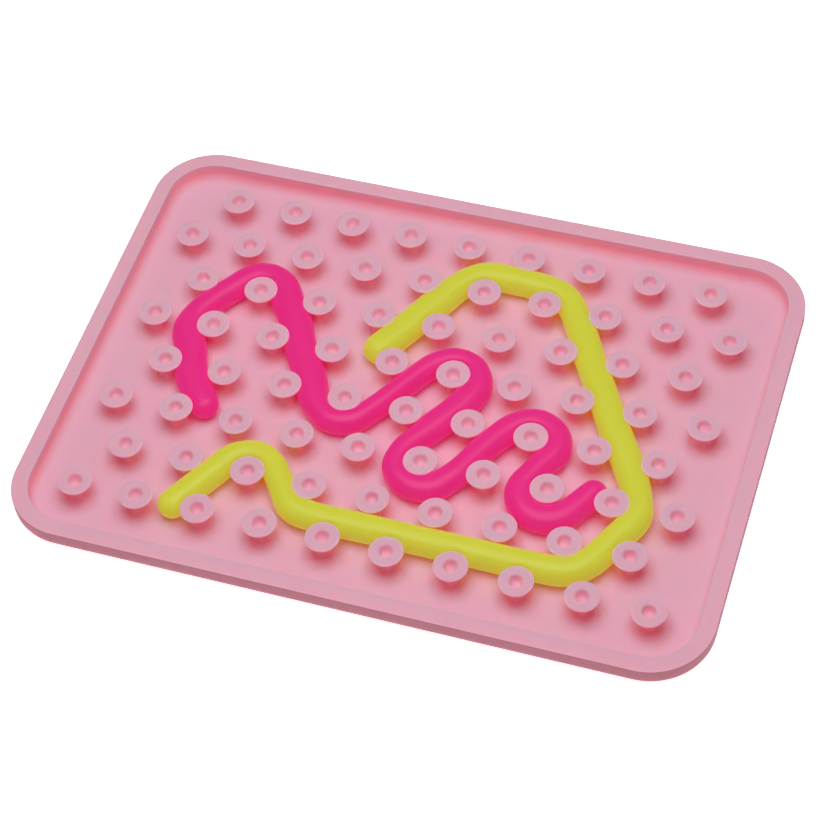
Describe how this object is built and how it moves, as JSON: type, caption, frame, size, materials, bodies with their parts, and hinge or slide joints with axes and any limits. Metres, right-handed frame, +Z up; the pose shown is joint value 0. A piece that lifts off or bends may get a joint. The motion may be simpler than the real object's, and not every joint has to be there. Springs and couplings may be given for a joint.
{
  "type": "peg mat with stretchy strings",
  "caption": "Shallow soft silicone tray with staggered rows of short dimpled pegs, and stretchy strings threaded between them by hand as a calming desk toy.",
  "frame": {"origin": "centre of the tray's underside, on the surface it lies on", "axes": "+X along the tray's long side, to the right; +Y from the front long side to the back; +Z up, out of the tray"},
  "size_m": [0.198, 0.144, 0.0093],
  "materials": {
    "silicone": "matte pink silicone",
    "magenta_gel": "soft gloss magenta elastomer",
    "yellow_gel": "soft gloss yellow elastomer"
  },
  "bodies": {
    "mat": {"rim": "silicone", "peg_row_1": "silicone", "peg_row_2": "silicone", "peg_row_3": "silicone", "peg_row_4": "silicone", "peg_row_5": "silicone", "peg_row_6": "silicone", "peg_row_7": "silicone", "peg_row_8": "silicone"},
    "magenta_string": {"magenta_string": "magenta_gel"},
    "yellow_string": {"yellow_string": "yellow_gel"}
  },
  "joints": [
    {"name": "magenta_string_lift", "type": "slide", "parent": "mat", "child": "magenta_string", "axis": [0, 0, 1], "range_m": [0, 0.025], "deforming": ["magenta_string"]},
    {"name": "yellow_string_lift", "type": "slide", "parent": "mat", "child": "yellow_string", "axis": [0, 0, 1], "range_m": [0, 0.025], "deforming": ["yellow_string"]}
  ]
}
